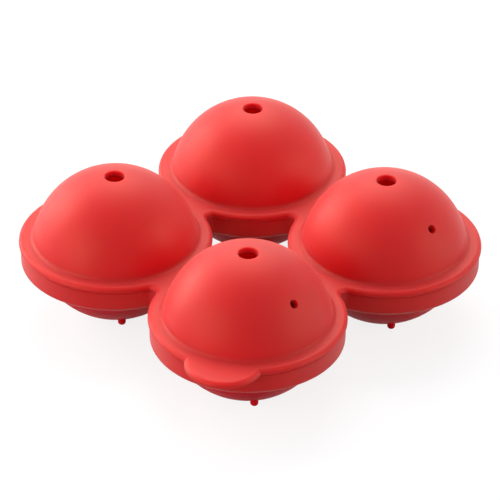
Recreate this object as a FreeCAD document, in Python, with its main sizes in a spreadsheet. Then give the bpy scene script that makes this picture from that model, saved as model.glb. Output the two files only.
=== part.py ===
import FreeCAD, Part

import os

import Sketcher

# Ice ball mould, a lid and a base moulded in soft silicone.
# Four round cups stand in a two by two grid, joined by a flat web round an open window.
# The first cup stands at the origin and the others lie towards +X and +Y.
# Each half is drawn in its own frame, with the face where the halves meet at height zero,
# and is then lifted so that the flats under the cups stand on the XY plane.

# Lengths are in millimetres and angles in degrees.
SIZES = (
    ("ball_radius", 30.0, "ice ball, half of it in the lid and half in the base"),
    ("dome_wall", 4.8, "radius of a dome's outside beyond the ball's"),
    ("cup_wall", 4.5, "radius of a cup's outside beyond the ball's"),
    ("dome_drop", 2.1, "centre of a dome's outside below the middle of the ball"),
    ("cup_rise", 3.1, "centre of a cup's outside above the middle of the ball"),
    ("parting_rise", 1.4, "face where the halves meet above the middle of the ball"),
    ("flat_radius", 4.0, "flat that each cup stands on"),
    ("flange_width", 5.2, "lid's flange beyond the radius of a dome's outside"),
    ("flange_overlap", 1.5, "depth by which the flanges of two neighbours run into each other"),
    ("flange_thickness", 2.4, "lid's flange, web and pull tab"),
    ("flange_round", 1.9, "upper edge of the flange"),
    ("flange_lip_round", 0.3, "lower edge of the flange"),
    ("edge_band", 0.1, "least upright band between the flange's two rounds"),
    ("web_width", 29.0, "web between two cups"),
    ("neck_round", 2.5, "hollow corner where the web meets a flange"),
    ("neck_band", 0.3, "least straight edge of the web between two hollow corners"),
    ("dome_foot_round", 1.6, "hollow corner where a dome meets the flange"),
    ("rim_inset", 0.7, "base's rim inside the edge of the lid's flange"),
    ("rim_height", 9.2, "base's rim"),
    ("rim_top_round", 1.0, "upper edge of the rim round the window"),
    ("bevel_depth", 0.7, "bevel round the outside of the rim's upper edge, down the rim's side"),
    ("bevel_width", 1.8, "the same bevel, across the rim's top"),
    ("rim_bottom_round", 1.5, "lower edge of the rim"),
    ("cup_root_round", 1.0, "hollow corner where a cup leaves the rim"),
    ("fill_hole_radius", 4.1, "hole for water at the top of each dome"),
    ("fill_hole_round", 0.4, "outer edge of the fill hole"),
    ("vent_radius", 1.85, "small air hole in the side of each dome"),
    ("vent_elevation", 41.5, "slope of the air hole above the level"),
    ("tab_radius", 15.7, "round pull tab on the lid"),
    ("tab_inset", 5.6, "middle of the tab inside the edge of the flange"),
    ("tab_angle", 210.5, "direction of the tab from +X"),
    ("seal_land", 1.4, "from the edge of the ball's hollow to the ring that stands round it"),
    ("seal_width", 1.6, "ring"),
    ("seal_height", 1.8, "ring"),
    ("seal_round", 0.4, "upper edges of the ring"),
    ("seal_clearance", 0.2, "room round the ring in the lid's groove"),
    ("peg_radius", 1.65, "small peg under each cup"),
    ("peg_x", 12.5, "peg from the cup's axis, towards -X"),
    ("peg_y", 17.0, "peg from the cup's axis, towards -Y"),
    ("peg_length", 2.0, "end of the peg below the cup's skin, on the peg's axis"),
    ("peg_round", 1.1, "rounded edge at the end of the peg"),
)

# What follows from the sizes. Heights are counted from the face where the halves meet.
PLACES = (
    ("dome_radius", "sizes.ball_radius + sizes.dome_wall"),
    ("cup_radius", "sizes.ball_radius + sizes.cup_wall"),
    ("flange_radius", "dome_radius + sizes.flange_width"),
    ("cup_pitch", "2 * flange_radius - sizes.flange_overlap"),
    ("ball_centre", "-sizes.parting_rise"),
    ("dome_centre", "-sizes.parting_rise - sizes.dome_drop"),
    ("cup_centre", "sizes.cup_rise - sizes.parting_rise"),
    ("flat_depth", "sqrt(cup_radius ^ 2 - sizes.flat_radius ^ 2) - cup_centre"),
    ("skin_depth", "sqrt(cup_radius ^ 2 - sizes.peg_x ^ 2 - sizes.peg_y ^ 2) - cup_centre"),
    ("peg_depth", "skin_depth + sizes.peg_length"),
    ("hollow_radius", "sqrt(sizes.ball_radius ^ 2 - sizes.parting_rise ^ 2)"),
    ("seal_radius", "hollow_radius + sizes.seal_land"),
    ("groove_radius", "seal_radius - sizes.seal_clearance"),
    ("groove_width", "sizes.seal_width + 2 * sizes.seal_clearance"),
    ("groove_height", "sizes.seal_height + sizes.seal_clearance"),
    ("tab_reach", "flange_radius - sizes.tab_inset"),
    ("rim_radius", "flange_radius - sizes.rim_inset"),
    ("rim_web_width", "sizes.web_width - 2 * sizes.rim_inset"),
    ("round_limit", "sizes.flange_thickness - sizes.flange_lip_round - sizes.edge_band"),
    ("upper_round", "min(sizes.flange_round; round_limit)"),
    ("web_half", "sizes.web_width / 2"),
    ("web_reach", "(cup_pitch - sizes.neck_band) / 2"),
    ("neck_limit", "(web_reach ^ 2 + web_half ^ 2 - flange_radius ^ 2) / (2 * (flange_radius - web_half))"),
    ("neck_radius", "min(sizes.neck_round; neck_limit)"),
    ("rim_neck_radius", "neck_radius + sizes.rim_inset"),
)

ON_PLANE = 0.001
TURN = 360

# Values that a sketch starts from, before the sheet sets them
START_RADIUS = 1.0
START_TILT = 1.0

UPRIGHT = FreeCAD.Vector(0, 0, 1)

document = FreeCAD.newDocument("ice_ball_mould")
sizes_sheet = document.addObject("Spreadsheet::Sheet", "sizes")
for row, (alias, value, meaning) in enumerate(SIZES, start=1):
    sizes_sheet.set("A%d" % row, alias)
    sizes_sheet.set("B%d" % row, str(value))
    sizes_sheet.set("C%d" % row, meaning)
    sizes_sheet.setAlias("B%d" % row, alias)
document.recompute()

places_sheet = document.addObject("Spreadsheet::Sheet", "places")
for row, (alias, formula) in enumerate(PLACES, start=1):
    places_sheet.set("A%d" % row, alias)
    places_sheet.set("B%d" % row, "=" + formula)
    places_sheet.setAlias("B%d" % row, alias)
    document.recompute()


def size(name):
    """Number behind a name such as sizes.ball_radius or places.cup_pitch."""
    sheet, alias = name.split(".")
    return float(document.getObject(sheet).get(alias))


# Helpers for bodies, sketches and features
def origin_feature(body, role):
    return next(item for item in body.Origin.OriginFeatures if item.Role == role)


def new_body(label):
    body = document.addObject("PartDesign::Body", label)
    body.Label = label
    return body


def new_sketch(body, name, plane="XY_Plane", x=None, y=None, z=None, tilt=None):
    """A sketch on a plane of the body's origin, moved by expressions and tilted about X."""
    sketch = body.newObject("Sketcher::SketchObject", name)
    sketch.AttachmentSupport = (origin_feature(body, plane), "")
    sketch.MapMode = "FlatFace"
    if tilt:
        start = FreeCAD.Rotation(FreeCAD.Vector(1, 0, 0), START_TILT)
        sketch.AttachmentOffset = FreeCAD.Placement(FreeCAD.Vector(0, 0, 0), start)
        sketch.setExpression("AttachmentOffset.Rotation.Angle", tilt)
    for axis, expression in (("x", x), ("y", y), ("z", z)):
        if expression:
            sketch.setExpression("AttachmentOffset.Base." + axis, expression)
    return sketch


def bind(sketch, name, expression, *constraint):
    """Add a size to a sketch and tie it to the sheet."""
    index = sketch.addConstraint(Sketcher.Constraint(*constraint))
    sketch.renameConstraint(index, name)
    sketch.setExpression("Constraints." + name, expression)


def circle_sketch(body, name, radius, **place):
    sketch = new_sketch(body, name, **place)
    outline = Part.Circle(FreeCAD.Vector(0, 0, 0), UPRIGHT, START_RADIUS)
    circle = sketch.addGeometry(outline, False)
    sketch.addConstraint(Sketcher.Constraint("Coincident", circle, 3, -1, 1))
    bind(sketch, "radius", radius, "Radius", circle, START_RADIUS)
    return sketch


def add_feature(body, kind, name, sketch, **expressions):
    feature = body.newObject("PartDesign::" + kind, name)
    feature.Profile = sketch
    for prop, expression in expressions.items():
        feature.setExpression(prop, expression)
    return feature


def turn(body, kind, name, sketch):
    """A Revolution or a Groove, a full turn about the cup's axis."""
    feature = add_feature(body, kind, name, sketch)
    feature.ReferenceAxis = (sketch, ["V_Axis"])
    feature.Angle = TURN
    return feature


def repeat(body, name, original, rows=2):
    """Copy a feature of the first cup to the others: along X, and along Y too for two rows."""
    pattern = body.newObject("PartDesign::LinearPattern", name)
    pattern.Originals = [original]
    pattern.Direction = (origin_feature(body, "X_Axis"), [""])
    pattern.Occurrences = 2
    pattern.setExpression("Length", "places.cup_pitch")
    pattern.Direction2 = (origin_feature(body, "Y_Axis"), [""])
    pattern.Occurrences2 = rows
    pattern.setExpression("Length2", "places.cup_pitch")
    body.Tip = pattern
    document.recompute()
    return pattern


def picked_edges(body, name, wanted):
    """The body so far, with the names of its edges that pass the test."""
    document.recompute()
    edges = ["Edge%d" % number for number, edge in enumerate(body.Tip.Shape.Edges, start=1) if wanted(edge)]
    if not edges:
        raise RuntimeError(name + " found no edge")
    return body.Tip, edges


def soften(body, name, radius, wanted):
    """Round the edges of the body so far that pass the test."""
    picked = picked_edges(body, name, wanted)
    fillet = body.newObject("PartDesign::Fillet", name)
    fillet.Base = picked
    fillet.setExpression("Radius", radius)
    document.recompute()
    return fillet


def bevel(body, name, down, across, wanted):
    """Bevel the edges so far that pass the test, down the side and across the top."""
    picked = picked_edges(body, name, wanted)
    chamfer = body.newObject("PartDesign::Chamfer", name)
    chamfer.Base = picked
    chamfer.ChamferType = "Two distances"
    chamfer.setExpression("Size", down)
    chamfer.setExpression("Size2", across)
    document.recompute()
    if not any(lies_at(-size(down))(edge) for edge in chamfer.Shape.Edges):
        raise RuntimeError(name + " is turned the wrong way")
    return chamfer


# Tests that pick edges
def lies_at(height):
    def test(edge):
        box = edge.BoundBox
        return abs(box.ZMin - height) < ON_PLANE and abs(box.ZMax - height) < ON_PLANE
    return test


def stands_upright(edge):
    box = edge.BoundBox
    return box.XLength < ON_PLANE and box.YLength < ON_PLANE and box.ZLength > ON_PLANE


def is_ring(radius, height):
    level = lies_at(height)

    def test(edge):
        if edge.Degenerated or not isinstance(edge.Curve, Part.Circle):
            return False
        return level(edge) and abs(edge.Curve.Radius - radius) < ON_PLANE
    return test


def round_window(edge):
    """True for an edge between the four cups' axes, and so not on the outside of the mould."""
    box = edge.BoundBox
    pitch = size("places.cup_pitch")
    return min(box.XMin, box.YMin) > 0 and max(box.XMax, box.YMax) < pitch


def ring_radius(radius, centre, height):
    """Radius of a dome's or a cup's outside where it crosses a level plane."""
    return (size(radius) ** 2 - (height - size(centre)) ** 2) ** 0.5


# Sketches of the sections that are turned about a cup's axis
def shell_sketch(body, name, radius, centre, flat=None):
    """Half section of a dome, or of a cup if it has a flat, closed by its axis and the meeting face."""
    side = -1 if flat else 1
    sketch = new_sketch(body, name, "XZ_Plane")
    reach = size(radius)
    middle = FreeCAD.Vector(0, size(centre), 0)
    foot = FreeCAD.Vector((reach ** 2 - middle.y ** 2) ** 0.5, 0, 0)
    inner = size(flat) if flat else 0
    pole = FreeCAD.Vector(inner, middle.y + side * (reach ** 2 - inner ** 2) ** 0.5, 0)
    axis_end = FreeCAD.Vector(0, pole.y, 0)
    corner = FreeCAD.Vector(0, 0, 0)
    circle = Part.Circle(middle, UPRIGHT, reach)
    ends = (pole, foot) if flat else (foot, pole)
    outside = Part.ArcOfCircle(circle, *[circle.parameter(end) for end in ends])
    arc = sketch.addGeometry(outside, False)
    arc_foot, arc_pole = (2, 1) if flat else (1, 2)
    face = sketch.addGeometry(Part.LineSegment(corner, foot), False)
    axis = sketch.addGeometry(Part.LineSegment(axis_end, corner), False)
    sketch.addConstraint(Sketcher.Constraint("Coincident", face, 1, -1, 1))
    sketch.addConstraint(Sketcher.Constraint("Coincident", axis, 2, -1, 1))
    sketch.addConstraint(Sketcher.Constraint("Coincident", face, 2, arc, arc_foot))
    sketch.addConstraint(Sketcher.Constraint("Horizontal", face))
    sketch.addConstraint(Sketcher.Constraint("Vertical", axis))
    sketch.addConstraint(Sketcher.Constraint("PointOnObject", arc, 3, -2))
    bind(sketch, "radius", radius, "Radius", arc, reach)
    bind(sketch, "centre", centre, "DistanceY", -1, 1, arc, 3, middle.y)
    if flat:
        bottom = sketch.addGeometry(Part.LineSegment(axis_end, pole), False)
        sketch.addConstraint(Sketcher.Constraint("Coincident", bottom, 1, axis, 1))
        sketch.addConstraint(Sketcher.Constraint("Coincident", bottom, 2, arc, arc_pole))
        sketch.addConstraint(Sketcher.Constraint("Horizontal", bottom))
        bind(sketch, "flat", flat, "DistanceX", -1, 1, bottom, 2, inner)
    else:
        sketch.addConstraint(Sketcher.Constraint("Coincident", axis, 1, arc, arc_pole))
    return sketch


def ball_sketch(body, name):
    """Half section of the ball: a half circle closed by its axis."""
    sketch = new_sketch(body, name, "XZ_Plane")
    radius = size("sizes.ball_radius")
    middle = FreeCAD.Vector(0, size("places.ball_centre"), 0)
    reach = FreeCAD.Vector(0, radius, 0)
    circle = Part.Circle(middle, UPRIGHT, radius)
    ends = (circle.parameter(middle - reach), circle.parameter(middle + reach))
    arc = sketch.addGeometry(Part.ArcOfCircle(circle, *ends), False)
    axis = sketch.addGeometry(Part.LineSegment(middle + reach, middle - reach), False)
    sketch.addConstraint(Sketcher.Constraint("Coincident", arc, 2, axis, 1))
    sketch.addConstraint(Sketcher.Constraint("Coincident", arc, 1, axis, 2))
    sketch.addConstraint(Sketcher.Constraint("PointOnObject", arc, 3, -2))
    sketch.addConstraint(Sketcher.Constraint("PointOnObject", axis, 1, -2))
    sketch.addConstraint(Sketcher.Constraint("PointOnObject", axis, 2, -2))
    bind(sketch, "radius", "sizes.ball_radius", "Radius", arc, radius)
    bind(sketch, "centre", "places.ball_centre", "DistanceY", -1, 1, arc, 3, middle.y)
    return sketch


def rectangle(sketch, left, bottom, right, top):
    """Four lines round a rectangle, level and upright; returns them from the bottom, anticlockwise."""
    points = ((left, bottom), (right, bottom), (right, top), (left, top))
    corners = [FreeCAD.Vector(*point, 0) for point in points]
    lines = []
    for side, corner in enumerate(corners):
        line = Part.LineSegment(corner, corners[(side + 1) % 4])
        lines.append(sketch.addGeometry(line, False))
    for side, line in enumerate(lines):
        sketch.addConstraint(Sketcher.Constraint("Coincident", line, 2, lines[(side + 1) % 4], 1))
        sketch.addConstraint(Sketcher.Constraint("Vertical" if side % 2 else "Horizontal", line))
    return lines


def seal_sketch(body, name, inside, width, height):
    """Section of the sealing ring, or of its groove, standing on the meeting face."""
    sketch = new_sketch(body, name, "XZ_Plane")
    left = size(inside)
    lines = rectangle(sketch, left, 0, left + size(width), size(height))
    sketch.addConstraint(Sketcher.Constraint("PointOnObject", lines[0], 1, -1))
    bind(sketch, "inside", inside, "DistanceX", -1, 1, lines[0], 1, left)
    bind(sketch, "width", width, "DistanceX", lines[0], 1, lines[0], 2, size(width))
    bind(sketch, "height", height, "DistanceY", lines[1], 1, lines[1], 2, size(height))
    return sketch


def peg_sketch(body, name):
    """Half section of a peg: from the meeting face, inside the cup, down to its rounded end."""
    sketch = new_sketch(body, name, "XZ_Plane", x="-sizes.peg_x", z="sizes.peg_y")
    radius = size("sizes.peg_radius")
    bend = size("sizes.peg_round")
    end = -size("places.peg_depth")
    points = ((0, 0), (0, end), (radius - bend, end), (radius, end + bend), (radius, 0))
    corners = [FreeCAD.Vector(*point, 0) for point in points]
    centre = FreeCAD.Vector(radius - bend, end + bend, 0)
    circle = Part.Circle(centre, UPRIGHT, bend)
    axis = sketch.addGeometry(Part.LineSegment(corners[0], corners[1]), False)
    tip = sketch.addGeometry(Part.LineSegment(corners[1], corners[2]), False)
    ends = (circle.parameter(corners[2]), circle.parameter(corners[3]))
    corner = sketch.addGeometry(Part.ArcOfCircle(circle, *ends), False)
    side = sketch.addGeometry(Part.LineSegment(corners[3], corners[4]), False)
    top = sketch.addGeometry(Part.LineSegment(corners[4], corners[0]), False)
    sketch.addConstraint(Sketcher.Constraint("Coincident", axis, 1, -1, 1))
    sketch.addConstraint(Sketcher.Constraint("Coincident", axis, 2, tip, 1))
    sketch.addConstraint(Sketcher.Constraint("Tangent", tip, 2, corner, 1))
    sketch.addConstraint(Sketcher.Constraint("Tangent", corner, 2, side, 1))
    sketch.addConstraint(Sketcher.Constraint("Coincident", side, 2, top, 1))
    sketch.addConstraint(Sketcher.Constraint("Coincident", top, 2, axis, 1))
    sketch.addConstraint(Sketcher.Constraint("Vertical", axis))
    sketch.addConstraint(Sketcher.Constraint("Horizontal", tip))
    sketch.addConstraint(Sketcher.Constraint("Vertical", side))
    sketch.addConstraint(Sketcher.Constraint("Horizontal", top))
    bind(sketch, "radius", "sizes.peg_radius", "DistanceX", top, 2, top, 1, radius)
    bind(sketch, "depth", "places.peg_depth", "DistanceY", axis, 2, axis, 1, -end)
    bind(sketch, "bend", "sizes.peg_round", "Radius", corner, bend)
    return sketch


def web_sketch(body, name, width):
    """Square frame whose four bars run from cup to cup."""
    sketch = new_sketch(body, name)
    pitch = size("places.cup_pitch")
    half = size(width) / 2
    for word, reach in (("outer", 1), ("inner", -1)):
        low = -reach * half
        high = pitch + reach * half
        lines = rectangle(sketch, low, low, high, high)
        corner = "%d * %s / 2" % (-reach, width)
        extent = "places.cup_pitch + %d * %s" % (reach, width)
        bind(sketch, word + "_left", corner, "DistanceX", -1, 1, lines[0], 1, low)
        bind(sketch, word + "_bottom", corner, "DistanceY", -1, 1, lines[0], 1, low)
        bind(sketch, word + "_length", extent, "DistanceX", lines[0], 1, lines[0], 2, high - low)
        bind(sketch, word + "_height", extent, "DistanceY", lines[1], 1, lines[1], 2, high - low)
    return sketch


# Parts that the two halves have alike
def grid_plate(body, radius, width, thickness, neck, down):
    """Four discs joined by the web, with the necks rounded."""
    disc = add_feature(body, "Pad", "Disc", circle_sketch(body, "DiscSketch", radius), Length=thickness)
    disc.Reversed = down
    repeat(body, "Discs", disc)
    web = add_feature(body, "Pad", "Web", web_sketch(body, "WebSketch", width), Length=thickness)
    web.Reversed = down
    soften(body, "NeckRound", neck, stands_upright)


def cast_balls(body):
    """Hollow all four cups out to the ball's size."""
    ball = turn(body, "Groove", "Ball", ball_sketch(body, "BallSketch"))
    repeat(body, "Balls", ball)


# Lid: a flange with a pull tab, four domes with a fill hole and an air hole each
def make_lid():
    body = new_body("lid")
    thickness = size("sizes.flange_thickness")
    grid_plate(
        body,
        "places.flange_radius",
        "sizes.web_width",
        "sizes.flange_thickness",
        "places.neck_radius",
        False,
    )
    tab_place = {
        "x": "places.tab_reach * cos(sizes.tab_angle)",
        "y": "places.tab_reach * sin(sizes.tab_angle)",
    }
    tab_sketch = circle_sketch(body, "TabSketch", "sizes.tab_radius", **tab_place)
    add_feature(body, "Pad", "Tab", tab_sketch, Length="sizes.flange_thickness")
    soften(body, "FlangeRound", "places.upper_round", lies_at(thickness))
    soften(body, "LipRound", "sizes.flange_lip_round", lies_at(0))

    dome_sketch = shell_sketch(body, "DomeSketch", "places.dome_radius", "places.dome_centre")
    dome = turn(body, "Revolution", "Dome", dome_sketch)
    repeat(body, "Domes", dome)
    foot = ring_radius("places.dome_radius", "places.dome_centre", thickness)
    soften(body, "DomeFootRound", "sizes.dome_foot_round", is_ring(foot, thickness))
    cast_balls(body)

    fill_sketch = circle_sketch(body, "FillSketch", "sizes.fill_hole_radius")
    fill = add_feature(body, "Pocket", "FillHole", fill_sketch)
    fill.Type = "ThroughAll"
    fill.Reversed = True
    repeat(body, "FillHoles", fill)
    hole = size("sizes.fill_hole_radius")
    top = (size("places.dome_radius") ** 2 - hole ** 2) ** 0.5 + size("places.dome_centre")
    soften(body, "FillHoleRound", "sizes.fill_hole_round", is_ring(hole, top))

    # The near row's air holes face -Y and the far row's face +Y
    air_rows = (
        ("Near", None, "90 - sizes.vent_elevation"),
        ("Far", "places.cup_pitch", "sizes.vent_elevation - 90"),
    )
    for row, away, tilt in air_rows:
        place = {"y": away, "z": "places.dome_centre", "tilt": tilt}
        vent_sketch = circle_sketch(body, row + "VentSketch", "sizes.vent_radius", **place)
        length = "places.dome_radius + sizes.vent_radius"
        vent = add_feature(body, "Pocket", row + "Vent", vent_sketch, Length=length)
        vent.Reversed = True
        repeat(body, row + "Vents", vent, rows=1)

    # The groove takes the base's ring with some room all round
    groove_sizes = ("places.groove_radius", "places.groove_width", "places.groove_height")
    groove = turn(body, "Groove", "SealGroove", seal_sketch(body, "SealGrooveSketch", *groove_sizes))
    repeat(body, "SealGrooves", groove)
    return body


# Base: a deep rim, four cups with a flat and a peg under each, and the sealing rings
def make_base():
    body = new_body("base")
    grid_plate(
        body,
        "places.rim_radius",
        "places.rim_web_width",
        "sizes.rim_height",
        "places.rim_neck_radius",
        True,
    )
    bottom = -size("sizes.rim_height")
    on_top = lies_at(0)

    # The bevel leaves a narrow gap under the flange, where a fingertip parts the halves
    bevel(
        body,
        "PartingBevel",
        "sizes.bevel_depth",
        "sizes.bevel_width",
        lambda edge: on_top(edge) and not round_window(edge),
    )
    soften(body, "RimTopRound", "sizes.rim_top_round", lambda edge: on_top(edge) and round_window(edge))
    soften(body, "RimBottomRound", "sizes.rim_bottom_round", lies_at(bottom))

    cup_sizes = ("places.cup_radius", "places.cup_centre", "sizes.flat_radius")
    cup_sketch = shell_sketch(body, "CupSketch", *cup_sizes)
    cup = turn(body, "Revolution", "Cup", cup_sketch)
    repeat(body, "Cups", cup)
    root = ring_radius("places.cup_radius", "places.cup_centre", bottom)
    soften(body, "CupRootRound", "sizes.cup_root_round", is_ring(root, bottom))

    peg = turn(body, "Revolution", "Peg", peg_sketch(body, "PegSketch"))
    repeat(body, "Pegs", peg)
    cast_balls(body)

    ring_sizes = ("places.seal_radius", "sizes.seal_width", "sizes.seal_height")
    ring = turn(body, "Revolution", "Seal", seal_sketch(body, "SealSketch", *ring_sizes))
    repeat(body, "Seals", ring)
    soften(body, "SealRound", "sizes.seal_round", lies_at(size("sizes.seal_height")))
    return body


halves = [make_lid(), make_base()]

# The halves are lifted so that the flats under the cups stand on the XY plane
for half in halves:
    half.setExpression("Placement.Base.z", "places.flat_depth")
document.recompute()

for item in document.Objects:
    if "Invalid" in item.State or "Error" in item.State:
        raise RuntimeError(item.Name + " failed: " + ", ".join(item.State))
os.makedirs("parts", exist_ok=True)
for half in halves:
    shape = half.Shape
    if shape.isNull() or not shape.isValid() or len(shape.Solids) != 1:
        raise RuntimeError(half.Label + " is not one valid solid")
    shape.exportStep("parts/%s.step" % half.Label)
    box = shape.optimalBoundingBox()
    extent = (box.XLength, box.YLength, box.ZLength)
    print("%s %.1f cm3, %.1f x %.1f x %.1f mm" % (half.Label, shape.Volume / 1000, *extent))
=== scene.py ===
# %% [markdown]
# This lesson dresses an ice ball mould of soft red silicone. The mould comes apart into two
# mouldings, a domed lid and a base of cups, and both arrive from the CAD frame at their real size.
# They could be modelled again here, from turned profiles and webs, but a frame piece whose shape is
# right keeps its mesh. So the work is the finish of the silicone, the studio that shows it, and the
# camera. All lengths are in metres and +Z points up.

# %% Load the two halves
import math

import bpy
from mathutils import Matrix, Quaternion, Vector


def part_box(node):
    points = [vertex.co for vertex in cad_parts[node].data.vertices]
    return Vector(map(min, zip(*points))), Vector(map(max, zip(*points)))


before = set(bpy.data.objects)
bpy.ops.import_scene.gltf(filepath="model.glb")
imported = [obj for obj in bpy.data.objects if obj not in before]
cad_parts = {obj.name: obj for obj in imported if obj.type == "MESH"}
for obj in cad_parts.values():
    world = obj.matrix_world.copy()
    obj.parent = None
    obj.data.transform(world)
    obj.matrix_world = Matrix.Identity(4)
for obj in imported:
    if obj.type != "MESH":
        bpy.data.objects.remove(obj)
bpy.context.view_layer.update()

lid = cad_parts["lid"]
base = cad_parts["base"]
for half in (lid, base):
    print("half:", half.name, len(half.data.polygons), "faces")

# %% [markdown]
# The cups stand in a two by two grid, so the first measures are where the middle of the grid is and
# how high the two halves meet. They could be typed in, but read from the frame they follow it when
# a size changes. The pull tab makes the lid's box longer on one side, so the middle of the grid
# comes from the base, which has no tab. The halves meet at the lowest face of the lid.

# %% Measure the grid
MM = 0.001
base_low, base_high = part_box("base")
grid_middle = (base_low + base_high) / 2
lid_low, lid_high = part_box("lid")
meeting_height = lid_low.z
print("grid middle, mm:", round(grid_middle.x / MM, 2), round(grid_middle.y / MM, 2))
print("halves meet at, mm:", round(meeting_height / MM, 2))
print("height of the mould, mm:", round(lid_high.z / MM, 2))

# %% [markdown]
# Colours are written as the hex values that a paint card or a picture gives. Those are sRGB, and
# Blender's sockets want linear light, so one function turns each of them. A second function adds a
# shader node, sets its properties and fills or links its inputs, which keeps every material below
# as short as its idea. Where a node has two inputs of one name, they are given by number, as _0
# and _1.

# %% Colour and node helpers
def linear(hex_colour):
    """RGBA in linear light for a hex colour such as "C8141C"."""
    channels = [int(hex_colour[place:place + 2], 16) / 255 for place in (0, 2, 4)]
    light = [c / 12.92 if c <= 0.04045 else ((c + 0.055) / 1.055) ** 2.4 for c in channels]
    return (*light, 1.0)


def add_node(tree, kind, settings=None, **inputs):
    """A new node. Settings are its properties, and inputs are values or other nodes' outputs."""
    node = tree.nodes.new("ShaderNode" + kind)
    for name, value in (settings or {}).items():
        setattr(node, name, value)
    for name, value in inputs.items():
        numbered = name.startswith("_")
        socket = node.inputs[int(name[1:]) if numbered else name.replace("_", " ")]
        if isinstance(value, bpy.types.NodeSocket):
            tree.links.new(value, socket)
        else:
            socket.default_value = value
    return node


def new_material(name):
    """A material whose node tree is empty."""
    material = bpy.data.materials.new(name)
    material.use_nodes = True
    material.node_tree.nodes.clear()
    return material


print("a mid grey in linear light:", round(linear("808080")[0], 3))

# %% [markdown]
# The mould is taken for platinum-cured silicone with a strong red pigment all through, so almost no
# green or blue comes back from inside. Silicone bends light little, with an IOR of 1.41. A red that
# only lies on the surface would be simpler, but the walls of the holes would go dark. So most of
# the light is let into the rubber, where red wanders about 15 mm, and green and blue less than
# 1 mm. Thin edges and the walls of the holes glow red from it, and the shading gets soft.

# %% Values of the rubber
SILICONE_IOR = 1.41
SHARE_INSIDE = 0.8
RED_REACH = 15 * MM
REACH_SHARES = (1.0, 0.05, 0.03)
for channel, share in zip(("red", "green", "blue"), REACH_SHARES):
    print(channel, "wanders, mm:", round(share * RED_REACH / MM, 2))

# %% [markdown]
# The tool is taken for a steel one with blasted faces, which leave a matt skin. The wide reflection
# of the lamps on that skin is what pales the lit side. Four things about it were matched to the
# picture by trial: the roughness; the gloss level, which is 0.85 where 0.5 is the plain one of the
# IOR; the red tint of the reflection seen straight on; and a slight coral sheen, which pales the
# domes towards their outlines.
#
# The picture's cups are a clear red and mirror nothing of the white ground. With the domes' finish
# they came out dull and greyish here, so they get a skin of their own, which is rougher, with less
# gloss and no sheen. Their red is also made brighter, and that part is painted light: it lifts the
# cups as if more light reached them from below. Whether the real cups have another finish can't be
# seen. Two materials could hold the two skins, but they would meet at an edge of the mesh. One
# material with a mask lets them pass into each other. The height of a point tells which skin it
# has, and the change lies 2 to 3 mm below the rim, just past the hollow corner where a cup
# leaves it.

# %% Two skins
UPPER_SKIN_DEPTH = 11.2 * MM
SKIN_CHANGE = 1 * MM
UPPER_GLOSS = 0.85
CUP_GLOSS = 0.35
UPPER_ROUGHNESS = 0.5
CUP_ROUGHNESS = 0.6
UPPER_SHEEN = 0.2
SHEEN_ROUGHNESS = 0.5
REFLECTION_TINT = "FFB38E"
SHEEN_TINT = "FFE1CB"


def upper_share(tree, place):
    """1 on the domes, the flange and the rim, and 0 on the cups, where the red is painted brighter.
    """
    height = add_node(tree, "SeparateXYZ", Vector=place).outputs["Z"]
    lower_end = meeting_height - UPPER_SKIN_DEPTH
    return add_node(
        tree, "MapRange", Value=height, From_Min=lower_end - SKIN_CHANGE, From_Max=lower_end
    ).outputs["Result"]


print("upper skin ends at, mm:", round((meeting_height - UPPER_SKIN_DEPTH) / MM, 2))

# %% [markdown]
# A blasted tool leaves a grain of about 0.15 mm. A pixel of the picture covers 0.4 mm, so the grain
# is drawn at 0.5 mm. Soft waves about 9 mm long stand for the way that soft rubber shrinks as it
# cools. They could be shaped in the mesh, but they are less than a tenth of a millimetre high, so
# two bumps do for both.

# %% Relief of the skin
GRAIN = 0.5 * MM
GRAIN_HEIGHT = 0.04 * MM
GRAIN_STRENGTH = 0.5
SHRINK_WAVE = 9 * MM
WAVE_HEIGHT = 0.06 * MM
WAVE_STRENGTH = 0.25


def relief(tree, place):
    """The normal of a skin with soft waves and a fine grain on them."""
    wave = add_node(
        tree, "TexNoise", Vector=place, Scale=1 / SHRINK_WAVE, Detail=1.0
    ).outputs["Fac"]
    grain = add_node(
        tree, "TexNoise", Vector=place, Scale=1 / GRAIN, Detail=2.0, Roughness=0.6
    ).outputs["Fac"]
    swell = add_node(
        tree, "Bump", Height=wave, Strength=WAVE_STRENGTH, Distance=WAVE_HEIGHT
    ).outputs["Normal"]
    return add_node(
        tree, "Bump", Height=grain, Normal=swell, Strength=GRAIN_STRENGTH, Distance=GRAIN_HEIGHT
    ).outputs["Normal"]


print("grain and waves, mm:", round(GRAIN / MM, 2), round(SHRINK_WAVE / MM, 2))

# %% [markdown]
# The last part of the finish is the dry bloom that gathers on silicone, here as faint cloudy
# patches of 14 mm. Where it lies the red is a little paler and the skin a little rougher. A flat
# colour would be simpler, but the bloom keeps the large plain domes from looking perfectly even.
# Most of the noise lies between 0.3 and 0.7, and the roughness takes its spread from that range.

# %% Red silicone
UPPER_RED = "DC051C"
BLOOM_RED = "E4071E"
# The cups' red is the rubber's red made brighter with painted light, as if more light reached them
# from below.
CUP_RED_WITH_PAINTED_LIGHT = "FF0C26"
BLOOM_PATCH = 14 * MM
NOISE_LOW = 0.3
NOISE_HIGH = 0.7
ROUGHNESS_SPREAD = 0.04


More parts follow.
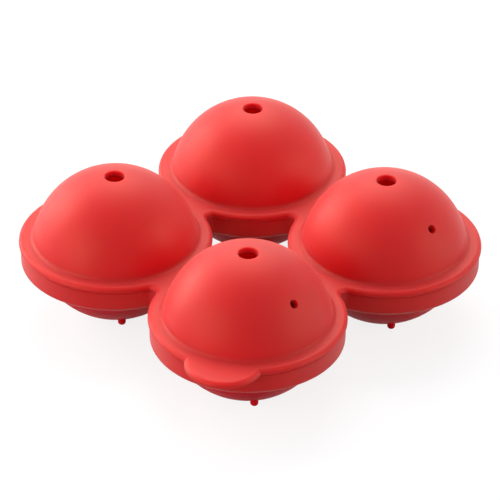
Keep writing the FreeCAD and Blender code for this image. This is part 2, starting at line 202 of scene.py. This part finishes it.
def silicone():
    material = new_material("red_platinum_silicone")
    tree = material.node_tree
    place = add_node(tree, "TexCoord").outputs["Object"]
    upper = upper_share(tree, place)
    bloom = add_node(
        tree, "TexNoise", Vector=place, Scale=1 / BLOOM_PATCH, Detail=4.0, Roughness=0.6
    ).outputs["Fac"]
    upper_red = add_node(
        tree, "Mix", {"data_type": "RGBA"}, Factor=bloom, A=linear(UPPER_RED), B=linear(BLOOM_RED)
    ).outputs["Result"]
    red = add_node(
        tree, "Mix", {"data_type": "RGBA"}, Factor=upper, A=linear(CUP_RED_WITH_PAINTED_LIGHT), B=upper_red
    ).outputs["Result"]
    gloss = add_node(
        tree, "MapRange", Value=upper, To_Min=CUP_GLOSS, To_Max=UPPER_GLOSS
    ).outputs["Result"]
    sheen = add_node(tree, "MapRange", Value=upper, To_Max=UPPER_SHEEN).outputs["Result"]
    mean_roughness = add_node(
        tree, "MapRange", Value=upper, To_Min=CUP_ROUGHNESS, To_Max=UPPER_ROUGHNESS
    ).outputs["Result"]
    dryness = add_node(
        tree, "MapRange", Value=bloom, From_Min=NOISE_LOW, From_Max=NOISE_HIGH,
        To_Min=-ROUGHNESS_SPREAD, To_Max=ROUGHNESS_SPREAD,
    ).outputs["Result"]
    roughness = add_node(
        tree, "Math", {"operation": "ADD"}, _0=mean_roughness, _1=dryness
    ).outputs["Value"]
    rubber = add_node(
        tree, "BsdfPrincipled", Base_Color=red, Roughness=roughness, Normal=relief(tree, place),
        IOR=SILICONE_IOR, Specular_Tint=linear(REFLECTION_TINT), Specular_IOR_Level=gloss,
        Sheen_Weight=sheen, Sheen_Roughness=SHEEN_ROUGHNESS, Sheen_Tint=linear(SHEEN_TINT),
        Subsurface_Weight=SHARE_INSIDE, Subsurface_Radius=REACH_SHARES,
        Subsurface_Scale=RED_REACH,
    ).outputs["BSDF"]
    add_node(tree, "OutputMaterial", Surface=rubber)
    return material


red_silicone = silicone()
for half in (lid, base):
    half.data.materials.clear()
    half.data.materials.append(red_silicone)
print("finish:", red_silicone.name, "on", lid.name, "and", base.name)

# %% [markdown]
# The floor is a wide sweep of grey paint. It could be painted white and lit until it is white in
# the picture, but that would send light up under the cups and pale them. So it stays grey, and for
# the camera's rays it also has light of its own, which lifts the open floor to white. The part that
# comes from the lamps is left to fall off under the mould, so a pale shadow stays. Rays that
# reflect or pass through something see the same floor as the camera. One function finds these three
# kinds of rays, since the world asks for them too.

# %% Floor
WHITE = linear("FFFFFF")
GREY_PAINT = linear("808080")
FLOOR_HALF = 4.0
FLOOR_GLOW = 0.82


def seeing_rays(tree):
    """1 for rays that come from the camera, reflect, or pass through something, else 0."""
    path = add_node(tree, "LightPath").outputs
    seen = add_node(
        tree, "Math", {"operation": "MAXIMUM"}, _0=path["Is Camera Ray"], _1=path["Is Glossy Ray"]
    ).outputs["Value"]
    return add_node(
        tree, "Math", {"operation": "MAXIMUM"}, _0=seen, _1=path["Is Transmission Ray"]
    ).outputs["Value"]


def white_sweep():
    material = new_material("white_studio_sweep")
    tree = material.node_tree
    level = add_node(
        tree, "Math", {"operation": "MULTIPLY"}, _0=seeing_rays(tree), _1=FLOOR_GLOW
    ).outputs["Value"]
    paint = add_node(tree, "BsdfDiffuse", Color=GREY_PAINT).outputs["BSDF"]
    glow = add_node(tree, "Emission", Color=WHITE, Strength=level).outputs["Emission"]
    both = add_node(tree, "AddShader", _0=paint, _1=glow).outputs["Shader"]
    add_node(tree, "OutputMaterial", Surface=both)
    return material


floor_mesh = bpy.data.meshes.new("floor")
corners = [
    (x * FLOOR_HALF, y * FLOOR_HALF, 0.0) for x, y in ((-1, -1), (1, -1), (1, 1), (-1, 1))
]
floor_mesh.from_pydata(corners, [], [(0, 1, 2, 3)])
floor_mesh.materials.append(white_sweep())
floor = bpy.data.objects.new("floor", floor_mesh)
bpy.context.scene.collection.objects.link(floor)
print("floor:", 2 * FLOOR_HALF, "m across")

# %% [markdown]
# The camera looks down on the mould from the corner with the pull tab, through a long lens from
# about 1.4 m, so the cups keep nearly the same size near and far. A camera can be turned by three
# angles, but aiming it along a direction is easier to follow. Its heading is counted from +X
# towards +Y, it aims 4 mm under the height at which the halves meet, and it is rolled by half a
# degree.

# %% Camera
CAMERA_HEADING = 225.72
CAMERA_ELEVATION = 33.32
CAMERA_ROLL = 0.475
CAMERA_DISTANCE = 1400.4 * MM
CAMERA_AIM_DROP = 4 * MM
CAMERA_LENS = 243.7
SENSOR_WIDTH = 36.0
FARTHEST_SEEN = 20.0


def direction(heading, elevation):
    """Unit vector for a heading from +X towards +Y and an elevation, both in degrees."""
    turn = math.radians(heading)
    rise = math.radians(elevation)
    level = math.cos(rise)
    return Vector((math.cos(turn) * level, math.sin(turn) * level, math.sin(rise)))


def facing_back(outward):
    """The turn of a camera or lamp that stands along a direction and looks back at the mould."""
    return (-outward).to_track_quat("-Z", "Y")


target = Vector((grid_middle.x, grid_middle.y, meeting_height - CAMERA_AIM_DROP))
towards_camera = direction(CAMERA_HEADING, CAMERA_ELEVATION)
lens = bpy.data.cameras.new("camera")
lens.lens = CAMERA_LENS
lens.sensor_width = SENSOR_WIDTH
lens.clip_end = FARTHEST_SEEN
camera = bpy.data.objects.new("camera", lens)
camera.location = target + towards_camera * CAMERA_DISTANCE
camera.rotation_mode = "QUATERNION"
roll = Quaternion((0, 0, 1), math.radians(CAMERA_ROLL))
camera.rotation_quaternion = facing_back(towards_camera) @ roll
bpy.context.scene.collection.objects.link(camera)
bpy.context.scene.camera = camera
print("camera at", [round(value, 3) for value in camera.location])

# %% [markdown]
# Soft studio light from four square boxes, each 0.9 m wide and 1.2 m away. Lamps of that size give
# a matt skin its broad soft bloom, where small ones would give spots. The strongest stands on the
# left and a little behind the mould, where the domes' upper left sides mirror it. A weaker one
# stands on the left in front and lights the rims. The third hangs high behind the mould, for its
# tops and the flange. The last and weakest is on the right, for the right flanks. Headings are
# counted from the camera's own, so that left and right are the picture's.

# %% Lamps
LAMP_DISTANCE = 1.2
LAMP_WIDTH = 0.9
LAMPS = {
    "back_left_softbox": {"turn": -120, "elevation": 22, "watts": 11.2},
    "front_left_softbox": {"turn": -56, "elevation": 16, "watts": 7.7},
    "back_softbox": {"turn": 180, "elevation": 52, "watts": 9.2},
    "right_card": {"turn": 76, "elevation": 16, "watts": 5.6},
}

for name, lamp in LAMPS.items():
    light = bpy.data.lights.new(name, "AREA")
    light.shape = "SQUARE"
    light.size = LAMP_WIDTH
    light.energy = lamp["watts"]
    holder = bpy.data.objects.new(name, light)
    towards_lamp = direction(CAMERA_HEADING + lamp["turn"], lamp["elevation"])
    holder.location = target + towards_lamp * LAMP_DISTANCE
    holder.rotation_mode = "QUATERNION"
    holder.rotation_quaternion = facing_back(towards_lamp)
    holder.visible_camera = False
    bpy.context.scene.collection.objects.link(holder)
    print("lamp:", name, "at", [round(value, 2) for value in holder.location])

# %% [markdown]
# The world lights what the lamps leave out, evenly from all sides. One strength for all rays would
# be simpler, but the picture's ground is plain white, and a world as bright as that would pale the
# low parts of the domes. So it lights the mould at less than half of white, and only the rays that
# the floor glows for see it as white.

# %% World
WORLD_FILL = 0.4
WORLD_SEEN = 1.0

world = bpy.data.worlds.new("studio_fill")
world.use_nodes = True
tree = world.node_tree
tree.nodes.clear()
strength = add_node(
    tree, "MapRange", Value=seeing_rays(tree), To_Min=WORLD_FILL, To_Max=WORLD_SEEN
).outputs["Result"]
sky = add_node(tree, "Background", Color=WHITE, Strength=strength).outputs["Background"]
add_node(tree, "OutputWorld", Surface=sky)
bpy.context.scene.world = world
bpy.context.scene.view_settings.view_transform = "Standard"
print("world fill:", WORLD_FILL)
